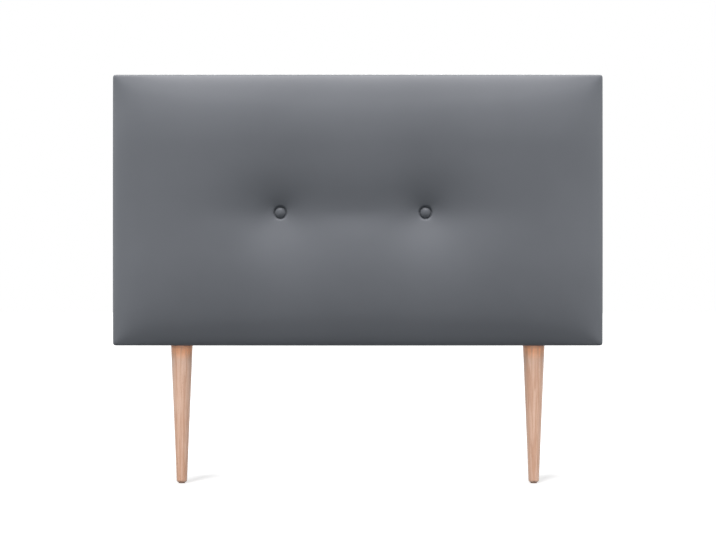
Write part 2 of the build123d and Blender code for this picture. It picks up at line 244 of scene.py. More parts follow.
# A tuft: its reach below and above the button, how steeply it falls, and how deep it is
DISH_REACH = (313.0 * MM, 109.0 * MM)
DISH_STEEP = (3.76, 10.0)
DISH_DEPTH = (6.0 * MM, 35.2 * MM)
PINCH_DEPTH, PINCH_REACH = 22.6 * MM, 45.0 * MM
VALLEY_DEPTH = 11.7 * MM
VALLEY_REACH = (33.5 * MM, 41.0 * MM)
VALLEY_FADE, VALLEY_TURN = 132.4 * MM, 14.0 * MM
COLLAR_DEPTH, COLLAR_HARDNESS = 23.0 * MM, 6


def crown(inset, shape):
    """How far the pad has risen, from 0 at its outline to 1 where it levels out."""
    share = np.clip(inset / shape[0], 0, 1)
    return (1 - (1 - share) ** 2) ** shape[1]


def between(pair, share):
    """A value between what it is below the button row and above it."""
    return pair[0] + (pair[1] - pair[0]) * share


def dish(x, z, button_x):
    """How deep one button pulls the face, as a share of the collar's depth."""
    reach = np.maximum(np.hypot(x - button_x, z - BUTTON_Z), MM)
    up = (1 + (z - BUTTON_Z) / reach) / 2
    fall = np.clip(1 - reach / between(DISH_REACH, up), 0, 1) ** between(DISH_STEEP, up)
    pulled = between(DISH_DEPTH, up) * fall + PINCH_DEPTH * np.exp(-reach / PINCH_REACH)
    share = pulled / COLLAR_DEPTH
    return share / (1 + share**COLLAR_HARDNESS) ** (1 / COLLAR_HARDNESS)


def valley(x, z):
    """The shallow fold along the row, deepest between the buttons."""
    outside = np.maximum(np.maximum(BUTTON_X[0] - x, x - BUTTON_X[1]), 0)
    up = 1 / (1 + np.exp(-(z - BUTTON_Z) / VALLEY_TURN))
    across = np.cosh((z - BUTTON_Z) / between(VALLEY_REACH, up))
    return VALLEY_DEPTH / COLLAR_DEPTH * np.exp(-((outside / VALLEY_FADE) ** 2)) / across


def edge_roll(x, z):
    """The rounding of the panel's edge, alike all round."""
    inset = np.minimum(PANEL_HALF_WIDE - np.abs(x), np.minimum(PANEL_HIGH - z, z - PANEL_LOW))
    share = np.clip(inset / ROLL_REACH, 0, 1)
    full = np.exp(-(((x - FULL_X) / FULL_REACH[0]) ** 2) - ((z - FULL_Z) / FULL_REACH[1]) ** 2)
    rolled = EDGE_ROLL * np.sqrt(1 - (1 - share) ** 2)
    return rolled + FULL_RISE * full * np.clip(inset / FULL_INSET, 0, 1)


def face_y(x, z):
    """Where the skin's outside stands over a point of the panel."""
    ends = crown(PANEL_HIGH - z, TOP_CROWN) * crown(z - PANEL_LOW, BOTTOM_CROWN)
    sag = LOWER_SAG / (1 + np.exp((z - BUTTON_Z + SAG_DROP) / SAG_REACH))
    risen = (CROWN_RISE - sag) * ends * crown(PANEL_HALF_WIDE - np.abs(x), SIDE_CROWN)
    left = 1 - valley(x, z)
    for button_x in BUTTON_X:
        left = left * (1 - dish(x, z, button_x))
    return OUTLINE_Y - risen - edge_roll(x, z) + COLLAR_DEPTH * (1 - left)


crown_y = face_y(0.0, PANEL_HIGH - TOP_CROWN[0])
print("face at the crown:", round(float(crown_y) / MM, 2), "mm")

# %% [markdown]
# ## A grid that knows the buttons
# The grid's lines are spaced close together at the rolled edge, where the face turns
# fast, and so that two of them cross at each button. The corners of the panel are rounded by
# pressing the square corner of the grid onto a quarter circle.

# %% The face
EDGE_INSETS = (0.0, 1.2, 3.0, 5.5, 9.0, 14.0, 20.0)
CELL = 9.0 * MM
CORNER = 5.6 * MM


def stations(low, high, stops):
    """Places of the grid's lines from low to high, with a line at each stop."""
    edge = [inset * MM for inset in EDGE_INSETS]
    ends = [low + edge[-1], *stops, high - edge[-1]]
    inner = []
    for start, end in zip(ends, ends[1:]):
        count = round((end - start) / CELL)
        inner += list(np.linspace(start, end, count, endpoint=False))
    return np.array([low + e for e in edge[:-1]] + inner + [high - e for e in reversed(edge)])


def rounded_corner(x, z):
    """Presses the square corners of the panel's outline onto quarter circles."""
    centre_x, centre_z = PANEL_HALF_WIDE - CORNER, PANEL_HALF_HIGH - CORNER
    out_x = np.maximum(np.abs(x) - centre_x, 0)
    out_z = np.maximum(np.abs(z - PANEL_MIDDLE) - centre_z, 0)
    longest = np.maximum(out_x, out_z)
    in_corner = (out_x > 0) & (out_z > 0)
    pull = np.where(in_corner, longest / np.maximum(np.hypot(out_x, out_z), 1e-9), 1)
    new_x = np.sign(x) * (np.minimum(np.abs(x), centre_x) + out_x * pull)
    up = z - PANEL_MIDDLE
    return new_x, PANEL_MIDDLE + np.sign(up) * (np.minimum(np.abs(up), centre_z) + out_z * pull)


lines_x = stations(-PANEL_HALF_WIDE, PANEL_HALF_WIDE, BUTTON_X)
lines_z = stations(PANEL_LOW, PANEL_HIGH, (BUTTON_Z,))
nothing()
bpy.ops.mesh.primitive_grid_add(
    x_subdivisions=len(lines_x) - 1, y_subdivisions=len(lines_z) - 1, size=1,
    rotation=(radians(90), 0, 0),
)  # fmt: skip
skin_face = named("skin_face")
rows = points(skin_face)
rows[:, 0] = np.interp(rows[:, 0], np.linspace(-0.5, 0.5, len(lines_x)), lines_x)
rows[:, 2] = np.interp(rows[:, 2], np.linspace(-0.5, 0.5, len(lines_z)), lines_z)
put_points(skin_face, rows)
print("grid:", len(lines_x), "by", len(lines_z), "lines")

# %% [markdown]
# ## Rings round each button
# A button is drawn down until the skin swells up round it as a collar, with a narrow dark groove
# between the two. So four cells each way are cut out of the grid round each button, and the hole
# is closed again ring by ring: from a square to circles, over the collar, down into the groove
# and up to the button's back, as far as the small hole for the twine.

# %% Rings round the buttons
# The collar's rounded lip, the square that is cut out of the grid, and its outline's reach
LIP_DEPTH, LIP_REACH, LIP_WIDE = 0.6 * MM, 21.0 * MM, 6.5 * MM
HOLE_REACH, HOLE_EDGE_REACH = 1.9 * CELL, 2.5 * CELL
# Each ring's radius, and how far it stands behind the button's back: the first two stay on the face
SEAT_RINGS = (
    (16.9, None), (15.8, None), (14.9, -3.4), (13.8, -1.5), (12.2, 0.3), (9.0, 0.1), (4.2, 0.1),
)  # fmt: skip
RING_FUZZ = 0.2 * MM


def near(place, button_x, reach):
    """Whether a place is in the square of the grid round a button."""
    return max(abs(place.x - button_x), abs(place.z - BUTTON_Z)) < reach


def on_hole(edge, button_x):
    """Whether an edge is on the outline of the hole round a button."""
    return edge.is_boundary and all(near(v.co, button_x, HOLE_EDGE_REACH) for v in edge.verts)


def ring(button_x, radius):
    """A rule that sends a point to a circle round a button."""

    def place(co):
        out = Vector((co.x - button_x, 0, co.z - BUTTON_Z)).normalized() * radius
        return Vector((button_x + out.x, co.y, BUTTON_Z + out.z))

    return place


edit(skin_face)
for button_x in BUTTON_X:
    pick("FACE", lambda f, bx=button_x: near(f.calc_center_median(), bx, HOLE_REACH))
    bpy.ops.mesh.delete(type="FACE")
    pick("EDGE", lambda e, bx=button_x: on_hole(e, bx))
    extrude_edges(*[ring(button_x, radius * MM) for radius, _ in SEAT_RINGS])
done()

rows = points(skin_face)
flat_x, flat_z = rounded_corner(rows[:, 0], rows[:, 2])
rows[:, 1] = face_y(rows[:, 0], rows[:, 2])
for button_x in BUTTON_X:
    reach = np.hypot(rows[:, 0] - button_x, rows[:, 2] - BUTTON_Z)
    rows[:, 1] += LIP_DEPTH * np.clip((LIP_REACH - reach) / LIP_WIDE, 0, 1) ** 2
    for radius, painted_light_behind in SEAT_RINGS:
        if painted_light_behind is not None:
            rows[np.abs(reach - radius * MM) < RING_FUZZ, 1] = BUTTON_BACK_Y + painted_light_behind * MM
rows[:, 0], rows[:, 2] = flat_x, flat_z
put_points(skin_face, rows)
report(skin_face)

# %% [markdown]
# ## The pull of the cloth
# Drawn from formulas alone, the face is too perfect. A short cloth simulation pushes the skin out
# from behind, as the foam does, while its outline and the button seats are pinned. No point may
# move more than a millimetre or two, so the form stays and only its stiffness goes.

# %% A short cloth simulation
PIN_INSET = 2.0 * MM
PIN_SEAT = 16.0 * MM
SWELL_LIMIT = 1.6 * MM
CLOTH_FRAMES = 20
CLOTH_SETTINGS = {
    "vertex_group_mass": "pins", "quality": 4, "mass": 0.4,
    "tension_stiffness": 15, "compression_stiffness": 15, "shear_stiffness": 8,
    "bending_stiffness": 1.5, "use_pressure": True, "uniform_pressure_force": 4,
}  # fmt: skip


def outline_inset(x, z):
    """How far inside the panel's outline a point is."""
    return min(PANEL_HALF_WIDE - abs(x), z - PANEL_LOW, PANEL_HIGH - z)


def swell(obj, limit):
    """Lets the cloth swell, and keeps each point within a limit of where it was."""
    start = points(obj)
    pins = obj.vertex_groups.new(name="pins")
    held = [
        i
        for i, (x, _, z) in enumerate(start)
        if outline_inset(x, z) < PIN_INSET
        or min(np.hypot(x - bx, z - BUTTON_Z) for bx in BUTTON_X) < PIN_SEAT
    ]
    pins.add(held, 1.0, "REPLACE")
    only(obj)
    modifier = obj.modifiers.new("cloth", "CLOTH")
    for key, value in CLOTH_SETTINGS.items():
        setattr(modifier.settings, key, value)
    modifier.settings.effector_weights.gravity = 0
    modifier.collision_settings.use_self_collision = False
    scene = bpy.context.scene
    scene.frame_start, scene.frame_end = 1, CLOTH_FRAMES
    for step in range(1, CLOTH_FRAMES + 1):
        scene.frame_set(step)
    bpy.ops.object.modifier_apply(modifier=modifier.name)
    scene.frame_set(1)
    obj.vertex_groups.clear()
    pushed = points(obj) - start
    far = np.linalg.norm(pushed, axis=1, keepdims=True)
    put_points(obj, start + pushed * limit / (limit + far))
    return far.max()


print("the cloth wanted to move", round(swell(skin_face, SWELL_LIMIT) / MM, 1), "mm")

# %% [markdown]
# ## Helpers for finishes
# A finish is a small sum over the surface: a grain is noise stretched along the wood, a pore is
# noise above a threshold. `Wire` wraps a socket so that `1 - mask * 0.3` adds its own Math nodes,
# and `Finish` adds any other node in one line.


# %% Sums of sockets
class Wire:
    """A socket that can be added, taken away and multiplied."""

    def __init__(self, finish, socket):
        self.finish = finish
        self.socket = socket

    def maths(self, operation, *values):
        return self.finish.add("ShaderNodeMath", dict(enumerate(values)), operation=operation)

    def __add__(self, other):
        return self.maths("ADD", self, other)

    def __sub__(self, other):
        return self.maths("SUBTRACT", self, other)

    def __rsub__(self, other):
        return self.maths("SUBTRACT", other, self)

    def __mul__(self, other):
        return self.maths("MULTIPLY", self, other)

    __radd__ = __add__
    __rmul__ = __mul__

    def either(self, other):
        return self.maths("MAXIMUM", self, other)

    def sine(self):
        return self.maths("SINE", self)

    def step(self, low, high):
        """0 below low and 1 above high, with a smooth rise between."""
        inputs = {"Value": self, "From Min": low, "From Max": high}
        return self.finish.add("ShaderNodeMapRange", inputs, interpolation_type="SMOOTHSTEP")


class Sums:
    """A tree of nodes, to which they are added one at a time."""

    def __init__(self, tree):
        self.tree = tree

    def add(self, kind, inputs, output=0, **settings):
        """Adds a node: its settings first, then the values or wires of its inputs."""
        node = self.tree.nodes.new(kind)
        for key, value in settings.items():
            setattr(node, key, value)
        for key, value in inputs.items():
            if isinstance(value, Wire):
                self.tree.links.new(value.socket, node.inputs[key])
            else:
                node.inputs[key].default_value = value
        return Wire(self, node.outputs[output])


class Finish(Sums):
    """A material with one shader."""

    def __init__(self, name, **constants):
        self.material = bpy.data.materials.new(name)
        self.material.use_nodes = True
        super().__init__(self.material.node_tree)
        self.shader = self.tree.nodes["Principled BSDF"]
        for key, value in constants.items():
            self.shader.inputs[key.replace("_", " ")].default_value = value
        self.place = self.add("ShaderNodeTexCoord", {}, "Object")

    def axis(self, name):
        """One coordinate of the place on the piece."""
        return self.add("ShaderNodeSeparateXYZ", {0: self.place}, name)

    def noise(self, scale, detail=2.0, rough=0.5, place=None):
        inputs = {"Vector": place or self.place, "Scale": scale}
        return self.add("ShaderNodeTexNoise", {**inputs, "Detail": detail, "Roughness": rough})

    def grain(self, rates, detail=2.0, rough=0.5):
        """Noise that changes so often in a metre along each axis."""
        inputs = {0: self.place, 1: rates}
        place = self.add("ShaderNodeVectorMath", inputs, operation="MULTIPLY")
        return self.noise(1.0, detail, rough, place)

    def cells(self, scale, feature="F1"):
        inputs = {"Vector": self.place, "Scale": scale}
        return self.add("ShaderNodeTexVoronoi", inputs, "Distance", feature=feature)

    def blend(self, mask, low, high):
        """A colour between two, by a mask."""
        colours = {6: low, 7: high}
        inputs = {key: c if isinstance(c, Wire) else (*c, 1) for key, c in colours.items()}
        return self.add("ShaderNodeMix", {0: mask, **inputs}, 2, data_type="RGBA")

    def feed(self, **wires):
        """Links wires to the shader's inputs."""
        for key, wire in wires.items():
            self.tree.links.new(wire.socket, self.shader.inputs[key.replace("_", " ")])

    def relief(self, height, depth):
        """A bump of a real depth, in metres."""
        self.feed(Normal=self.add("ShaderNodeBump", {"Height": height, "Distance": depth}))


def srgb(red, green, blue):
    """A colour as a screen shows it, from 0 to 255, made linear."""
    shares = [channel / 255 for channel in (red, green, blue)]
    return tuple(c / 12.92 if c <= 0.04045 else ((c + 0.055) / 1.055) ** 2.4 for c in shares)


def dress(finish, *pieces):
    """Gives pieces a finish: a packed one by its name, or an object."""
    objects = [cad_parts[piece] if isinstance(piece, str) else piece for piece in pieces]
    for obj in objects:
        if not obj.material_slots:
            obj.data.materials.append(None)
        for slot in obj.material_slots:
            slot.material = finish.material
    print(finish.material.name, "is on", ", ".join(obj.name for obj in objects))


# %% [markdown]
# ## Leatherette
# The skin is polyurethane on a knitted backing, pressed with a fine grain of cells about a
# millimetre and a half across with soft valleys between them. That is too fine to see from the
# bed's foot, but it breaks the gloss. The colour is a cool mid grey that drifts by a few percent.

# %% Leatherette
SKIN_GREY = srgb(108, 112, 117)
SKIN_DEEP = srgb(104, 108, 113)
GRAIN, GRAIN_VALLEY = 1.5 * MM, 0.22
GRAIN_DEPTH = 0.03 * MM
CREASES = 1500.0


def leatherette(name, tone, deep):
    """Grained polyurethane in a tone that drifts towards a deeper one."""
    finish = Finish(name, Specular_IOR_Level=0.3)
    valleys = finish.cells(1 / GRAIN, "DISTANCE_TO_EDGE").step(0.0, GRAIN_VALLEY)
    pebbles = valleys * (1 - finish.cells(1 / GRAIN) * 0.4)
    drift = finish.noise(5.0, 3.0).step(0.3, 0.7)
    finish.feed(
        Base_Color=finish.blend(drift, deep, tone),
        Roughness=0.5 + finish.noise(16.0, 4.0) * 0.06 - pebbles * 0.05,
    )
    finish.relief(pebbles + finish.noise(CREASES, 3.0) * 0.25, GRAIN_DEPTH)
    return finish


skin_finish = leatherette("leatherette", SKIN_GREY, SKIN_DEEP)
print("the leatherette has", len(skin_finish.tree.nodes), "nodes")

# %% [markdown]
# ## What is cut out of the skin and the cloth
# The leg bolts come out through the underside of the skin, and the wall screws go in through its
# flap and the cloth behind the keyhole plates. The cutters are cylinders; for a keyhole, the upper
# half of one is pulled up into a slot. Joined, they cut each piece in one Boolean.

# %% Cutters
LEG_BOXES = [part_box(node) for node in ("left_leg", "right_leg")]
LEG_X, LEG_Y = zip(*[((low + high) / 2).to_2d() for low, high in LEG_BOXES])
LEG_TOP_Z = LEG_BOXES[0][1].z
PLATE_BOXES = [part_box(node) for node in ("left_hanger_plate", "right_hanger_plate")]
PLATE_X = [(low.x + high.x) / 2 for low, high in PLATE_BOXES]
PLATE_Z = (PLATE_BOXES[0][0].z + PLATE_BOXES[0][1].z) / 2
PLATE_BACK_Y = PLATE_BOXES[0][1].y
PLATE_SCREW_REACH = 22.0 * MM
PLATE_SCREWS = [
    (x + side * PLATE_SCREW_REACH, PLATE_BACK_Y, PLATE_Z) for x in PLATE_X for side in (-1, 1)
]
SLOT_RADIUS, SLOT_TRAVEL = 6.5 * MM, 9.0 * MM
SCREW_HOLE_RADIUS, BACK_CUT = 2.1 * MM, 20.0 * MM
BOLT_HOLE_RADIUS, BOLT_CUT = 4.7 * MM, 8.0 * MM
FACING_WALL = (radians(90), 0, 0)


def cylinder(name, radius, length, place, turn=(0, 0, 0), sides=48):
    """A cylinder with its place in its mesh."""
    nothing()
    bpy.ops.mesh.primitive_cylinder_add(
        vertices=sides, radius=radius, depth=length, location=place, rotation=turn
    )
    return named(name)


def slot_cutter(x):
    """A cutter for the way in of a wall screw's head, and its way up."""
    start = PLATE_Z - SLOT_TRAVEL / 2
    cutter = cylinder("slot_cutter", SLOT_RADIUS, BACK_CUT, (x, PLATE_BACK_Y, start), FACING_WALL)
    edit(cutter)
    pick("VERT", lambda v: v.co.z > start + 0.01 * MM)
    move_picked(lambda co: co + Vector((0, 0, SLOT_TRAVEL)))
    done()
    return cutter


back_cutters = [slot_cutter(x) for x in PLATE_X]
for place in PLATE_SCREWS:
    hole = cylinder("screw_cutter", SCREW_HOLE_RADIUS, BACK_CUT, place, FACING_WALL, 24)
    back_cutters.append(hole)
back_cutter = joined("back_cutter", *back_cutters)
leg_tops = [(x, y, LEG_TOP_Z) for x, y in zip(LEG_X, LEG_Y)]
bolt_cutters = [cylinder("bolt_cutter", BOLT_HOLE_RADIUS, BOLT_CUT, top) for top in leg_tops]
bolt_cutter = joined("bolt_cutter", *bolt_cutters)
print("cutters:", len(back_cutters), "at the back and", len(bolt_cutters), "for the bolts")


def cut_by(piece, cutter):
    """Takes a cutter away from a piece."""
    apply_modifier(piece, "BOOLEAN", operation="DIFFERENCE", solver="EXACT", object=cutter)


# %% [markdown]
# ## The cover
# The skin goes on round the sides and turns in over the back, where a wide flap is stapled down.
# So the outline of the face is extruded backwards row by row, rolled over the back edge and
# brought inwards. Solidify then gives the sheet its 1.2 mm, inwards from the face.

# %% The cover's sides and flap
SIDE_ROWS = (-47.0, -37.0, -25.0, -13.0, -4.0)
FLAP_Y = cover_high.y
FLAP_ROWS = ((0.5, -0.85), (1.6, 0.0), (10.0, 0.0), (20.0, 0.0), (30.0, 0.0))
# How far the sides bulge, and how far from the back edge they stop
SIDE_BULGE, SIDE_END = 0.5 * MM, 8.0 * MM
SKIN_THICK = 1.2 * MM
MERGE = 0.02 * MM


def further_back(y, inset=0.0):
    """A rule that takes the outline back to y, and in from the sides by an inset."""

    def place(co):
        half_wide, half_high = PANEL_HALF_WIDE - inset, PANEL_HALF_HIGH - inset
        x = max(-half_wide, min(half_wide, co.x))
        z = max(-half_high, min(half_high, co.z - PANEL_MIDDLE))
        return Vector((x, y, PANEL_MIDDLE + z))

    return place


def on_outline(edge):
    """Whether an edge is on the sheet's open outline, and not round a button."""
    middle = (edge.verts[0].co + edge.verts[1].co) / 2
    return edge.is_boundary and not any(near(middle, bx, HOLE_EDGE_REACH) for bx in BUTTON_X)


cover = copy_of(skin_face, "cover_skin")
edit(cover)
pick("EDGE", on_outline)
extrude_edges(*[further_back(FLAP_Y + y * MM) for y in SIDE_ROWS])
extrude_edges(*[further_back(FLAP_Y + y * MM, inset * MM) for inset, y in FLAP_ROWS])
bpy.ops.mesh.select_all(action="SELECT")
bpy.ops.mesh.remove_doubles(threshold=MERGE)
done()

rows = points(cover)
across = rows[:, 2] - PANEL_MIDDLE
on_side = (rows[:, 1] > OUTLINE_Y + MM) & (rows[:, 1] < FLAP_Y - SIDE_END)
upright = on_side & (np.abs(rows[:, 0]) > PANEL_HALF_WIDE - MM)
level = on_side & (np.abs(across) > PANEL_HALF_HIGH - MM)
fullness = 1 - (across[upright] / PANEL_HALF_HIGH) ** 2
rows[upright, 0] += np.sign(rows[upright, 0]) * SIDE_BULGE * fullness
fullness = 1 - (rows[level, 0] / PANEL_HALF_WIDE) ** 2
rows[level, 2] += np.sign(across[level]) * SIDE_BULGE * fullness
put_points(cover, rows)
apply_modifier(cover, "SUBSURF", levels=1, render_levels=1)
apply_modifier(cover, "SOLIDIFY", thickness=SKIN_THICK, offset=-1)
cut_by(cover, bolt_cutter)
cut_by(cover, back_cutter)
smooth(cover, 50)
dress(skin_finish, cover)
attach(cover, "panel")
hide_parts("cover")
report(cover)

# %% [markdown]
# ## The foam
# The foam fills the skin from behind. It is the same form, shrunk by the skin's thickness, with
# sides straight back to the board and a flat back. Foam is open cells just under a millimetre
# across, cream when it is new, and quite matte.

# %% The foam
SKIN_TO_FOAM = 1.6 * MM
PORE, PORE_DEPTH = 0.9 * MM, 0.4 * MM
FOAM_CREAM = srgb(236, 226, 196)
FOAM_PORE_SHADE = srgb(222, 208, 172)

foam = skin_face
foam.name = foam.data.name = "foam_block"
edit(foam, "SELECT")
bpy.ops.transform.shrink_fatten(value=-SKIN_TO_FOAM)
pick("EDGE", lambda e: e.is_boundary)
extrude_edges(lambda co: Vector((co.x, BOARD_Y, co.z)))
bpy.ops.mesh.fill()
done_outwards()
smooth(foam, 50)
foam_finish = Finish("foam", Roughness=0.95)
# The pores' hollows are painted a deeper cream, as shade, more in some places than others
pores = foam_finish.cells(1 / PORE).step(0.1, 0.6)
pore_shade = pores * foam_finish.noise(40.0)
foam_finish.feed(Base_Color=foam_finish.blend(pore_shade, FOAM_CREAM, FOAM_PORE_SHADE))
foam_finish.relief(1 - pores, PORE_DEPTH)
dress(foam_finish, foam)
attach(foam, "panel")
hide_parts("foam_pad")
report(foam)

# %% [markdown]
# ## The covered buttons
# A covered button is a metal cap with the same leatherette drawn over it, in a darker tone that
# is painted shade. The skin lies smooth on the dome and gathers into small pleats as it turns in
# at the rim. One button is made from a circle, extruded ring by ring up the side and over the
# dome, with its pleats pressed in by a wave round the rim, and then copied.

# %% The covered buttons
BUTTON_RADIUS = 11.5 * MM
BUTTON_SIDES = 72
PLEATS, PLEAT_DEPTH, PLEAT_LEVEL = 18, 0.35 * MM, 0.8
BUTTON_HEIGHT, BUTTON_SHELL = 5.7 * MM, 0.7 * MM
# A darker copy of the leatherette's tones, as painted shade
BUTTON_SHADED_GREY, BUTTON_SHADED_DEEP = srgb(100, 104, 109), srgb(97, 101, 106)
# Rings from the back of the button to near its middle: radius, height, and how much they pleat
BUTTON_RINGS = (
    (8.4, 0.1, 0.3), (10.3, 0.0, 0.8), (11.0, 0.4, 1.0), (11.05, 0.9, 0.8), (10.8, 1.6, 0.5),
    (9.7, 2.5, 0.3), (8.4, 3.3, 0.15), (7.2, 4.0, 0.05), (6.0, 4.6, 0.0), (4.6, 5.1, 0.0),
    (3.1, 5.45, 0.0), (1.6, 5.62, 0.0),
)  # fmt: skip


def button_ring(button_x, radius, height, pleated):
    """A rule that sends a point to a ring of the button, in and out with its pleats."""

    def place(co):
        angle = np.arctan2(co.z - BUTTON_Z, co.x - button_x)
        wave = abs(cos(angle * PLEATS / 2)) - PLEAT_LEVEL
        out = radius * MM + PLEAT_DEPTH * pleated * wave
        y = BUTTON_BACK_Y - height * MM
        return Vector((button_x + out * cos(angle), y, BUTTON_Z + out * sin(angle)))

    return place


nothing()
bpy.ops.mesh.primitive_circle_add(
    vertices=BUTTON_SIDES, radius=BUTTON_RADIUS, fill_type="NOTHING",
    location=(BUTTON_X[0], BUTTON_BACK_Y, BUTTON_Z), rotation=(radians(90), 0, 0),
)  # fmt: skip
left_button = named("left_button_skin")
edit(left_button, "SELECT")
move_picked(button_ring(BUTTON_X[0], *BUTTON_RINGS[0]))
extrude_edges(*[button_ring(BUTTON_X[0], *shape) for shape in BUTTON_RINGS[1:]])
bpy.ops.mesh.edge_face_add()
bpy.ops.mesh.poke()
pick("VERT", lambda v: len(v.link_edges) == BUTTON_SIDES)
move_picked(lambda co: Vector((co.x, BUTTON_BACK_Y - BUTTON_HEIGHT, co.z)))
done_outwards()
apply_modifier(left_button, "SOLIDIFY", thickness=BUTTON_SHELL, offset=-1)
smooth(left_button, 60)
right_button = moved(copy_of(left_button, "right_button_skin"), BUTTON_X[1] - BUTTON_X[0])
for button, node in ((left_button, "left_button"), (right_button, "right_button")):
    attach(button, "panel")
    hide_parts(node)
    report(button)
dress(leatherette("button_leatherette", BUTTON_SHADED_GREY, BUTTON_SHADED_DEEP), left_button, right_button)

# %% [markdown]
# ## The back cloth
# A black non-woven cloth closes the back, so that no one sees the frame or reaches the toggles.
# Its edge is folded under and stapled on the skin's flap. From there it steps down to the frame,
# which is a skin's thickness lower, and hangs a little slack over the two openings. It is a grid
# moved by a formula, then thickened and cut.

# %% The back cloth
cloth_low, cloth_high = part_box("back_cloth")
CLOTH_THICK = 0.4 * MM
HEM, HEM_STEP, HEM_SOFT = 15.0 * MM, 0.2 * MM, 2.0 * MM
FLAP_INSET, FRAME_INSET, FRAME_STEP = 19.0 * MM, 27.0 * MM, 1.3 * MM
STAPLE_PITCH, STAPLE_PULL, PULL_REACH = 48.0 * MM, 0.12 * MM, 14.0 * MM
SLACK, RIPPLE = 1.5 * MM, 0.35 * MM
RIPPLE_X, RIPPLE_Z = 17.0 * MM, 46.0 * MM
RIPPLE_SLANT, RIPPLE_BEND = 0.3, 1.7
SLACK_FULL, PULL_FULL = 0.7, 0.3
CLOTH_TRIM, CLOTH_LIES = 0.4 * MM, 0.05 * MM
CLOTH_CELLS = (190, 104)
OPENING_X = (15.0 * MM, 468.0 * MM)
OPENING_Z = (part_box("bottom_rail")[1].z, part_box("top_rail")[0].z)


def rise_over(value, low, high):
    """0 below low and 1 above high, with a smooth rise between."""
    share = np.clip((value - low) / (high - low), 0, 1)
    return share * share * (3 - 2 * share)


def hump(value, low, high):
    """0 at both ends of a span and 1 in its middle."""
    return np.sin(np.pi * np.clip((value - low) / (high - low), 0, 1)) ** SLACK_FULL


def cloth_y(x, z):
    """Where the outside of the cloth hangs."""
    inset = np.minimum(
        np.minimum(x - cloth_low.x, cloth_high.x - x), np.minimum(z - cloth_low.z, cloth_high.z - z)
    )
    step = HEM_STEP * rise_over(inset, HEM, HEM + HEM_SOFT)
    step += FRAME_STEP * rise_over(inset, FLAP_INSET, FRAME_INSET)
    slack = hump(np.abs(x), *OPENING_X) * hump(z, *OPENING_Z)
    bend = RIPPLE_BEND * np.sin(z / RIPPLE_Z)
    ripple = np.sin((x + RIPPLE_SLANT * z) / RIPPLE_X + bend)
    drawn = 1 - 0.5 * (np.cos(2 * np.pi * x / STAPLE_PITCH) + np.cos(2 * np.pi * z / STAPLE_PITCH))
    pull = STAPLE_PULL * drawn * np.exp(-(((inset - FRAME_INSET) / PULL_REACH) ** 2))
    hang = slack * (SLACK + RIPPLE * ripple) + pull * slack**PULL_FULL
    return cloth_high.y - CLOTH_LIES - step - hang


nothing()
bpy.ops.mesh.primitive_grid_add(
    x_subdivisions=CLOTH_CELLS[0], y_subdivisions=CLOTH_CELLS[1], size=1,
    rotation=(radians(-90), 0, 0),
)  # fmt: skip
back_sheet = named("back_sheet")
cloth_wide, cloth_tall = cloth_high.x - cloth_low.x, cloth_high.z - cloth_low.z
rows = points(back_sheet)
rows[:, 0] = (cloth_low.x + cloth_high.x) / 2 + rows[:, 0] * (cloth_wide - CLOTH_TRIM)
rows[:, 2] = (cloth_low.z + cloth_high.z) / 2 + rows[:, 2] * (cloth_tall - CLOTH_TRIM)
rows[:, 1] = cloth_y(rows[:, 0], rows[:, 2])
put_points(back_sheet, rows)
apply_modifier(back_sheet, "SOLIDIFY", thickness=CLOTH_THICK, offset=-1)
cut_by(back_sheet, back_cutter)
smooth(back_sheet, 40)
only(back_cutter, bolt_cutter)
bpy.ops.object.delete()
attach(back_sheet, "panel")
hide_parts("back_cloth")
report(back_sheet)

# %% [markdown]
# ## Threads
# A thread is one tooth's outline wound up an axis. The outline is drawn by extruding a single
# point, and the Screw modifier winds it, rising by the pitch at each turn. With no rise the same
# modifier turns a plain round shape. A cut at each end leaves the thread flat.


# %% Turned and threaded shapes
THREAD_MERGE = 0.005 * MM
# A tooth's flank as a share of its height, and the flat before it as a share of the pitch
FLANK_SHARE, FLAT_SHARE = 0.6, 0.1


def wound(name, outline, pitch=0.0, turns=1, sides=32):
    """Winds an outline of (radius, height), in millimetres, round the Z axis."""
    nothing()
    bpy.ops.mesh.primitive_plane_add(size=MM)
    obj = named(name)
    edit(obj, "SELECT")
    bpy.ops.mesh.merge(type="CENTER")
    for corner, (radius, height) in enumerate(outline):
        if corner:
            bpy.ops.mesh.extrude_vertices_move()
        move_picked(lambda co, r=radius, h=height: Vector((r * MM, 0, h * MM)))
    done()
    apply_modifier(
        obj, "SCREW", axis="Z", angle=2 * pi, screw_offset=pitch * MM, iterations=turns,
        steps=sides, render_steps=sides,
    )  # fmt: skip
    edit(obj, "SELECT")
    bpy.ops.mesh.remove_doubles(threshold=THREAD_MERGE)
    done_outwards()
    return obj


def threaded(name, crest, root, pitch, length, sides=24):
    """A threaded rod from 0 up to a length, all in millimetres."""
    flank, flat = (crest - root) * FLANK_SHARE, FLAT_SHARE * pitch
    tooth = ((root, 0), (root, flat), (crest, flat + flank), (crest, 2 * flat + flank),
             (root, 2 * flat + 2 * flank), (root, pitch))  # fmt: skip
    obj = moved(wound(name, tooth, pitch, round(length / pitch) + 3, sides), z=-2 * pitch * MM)
    for height, side in ((0.0, -1), (length, 1)):
        edit(obj, "SELECT")
        bpy.ops.mesh.bisect(
            plane_co=(0, 0, height * MM), plane_no=(0, 0, side), use_fill=True, clear_outer=True
        )
        done()
    return obj


# %% [markdown]
# ## The hanger bolts
# Each leg hangs on a bolt with a wood thread at one end, in the leg, and a machine thread at the
# other, in the tee nut. The machine thread is M8 with a pitch of 1.25 mm, which is why eleven
# turns bring the leg down 13.75 mm. The wood thread is coarse and narrows to a point.

# %% The hanger bolts
# Radius of crest and root, and pitch, in millimetres: an M8 machine thread and a wood thread
MACHINE_THREAD, MACHINE_CHAMFER = (4.0, 3.35, 1.25), 0.8 * MM
WOOD_THREAD, WOOD_POINT, POINT_SHARE = (3.55, 2.6, 3.2), 9.0 * MM, 0.06

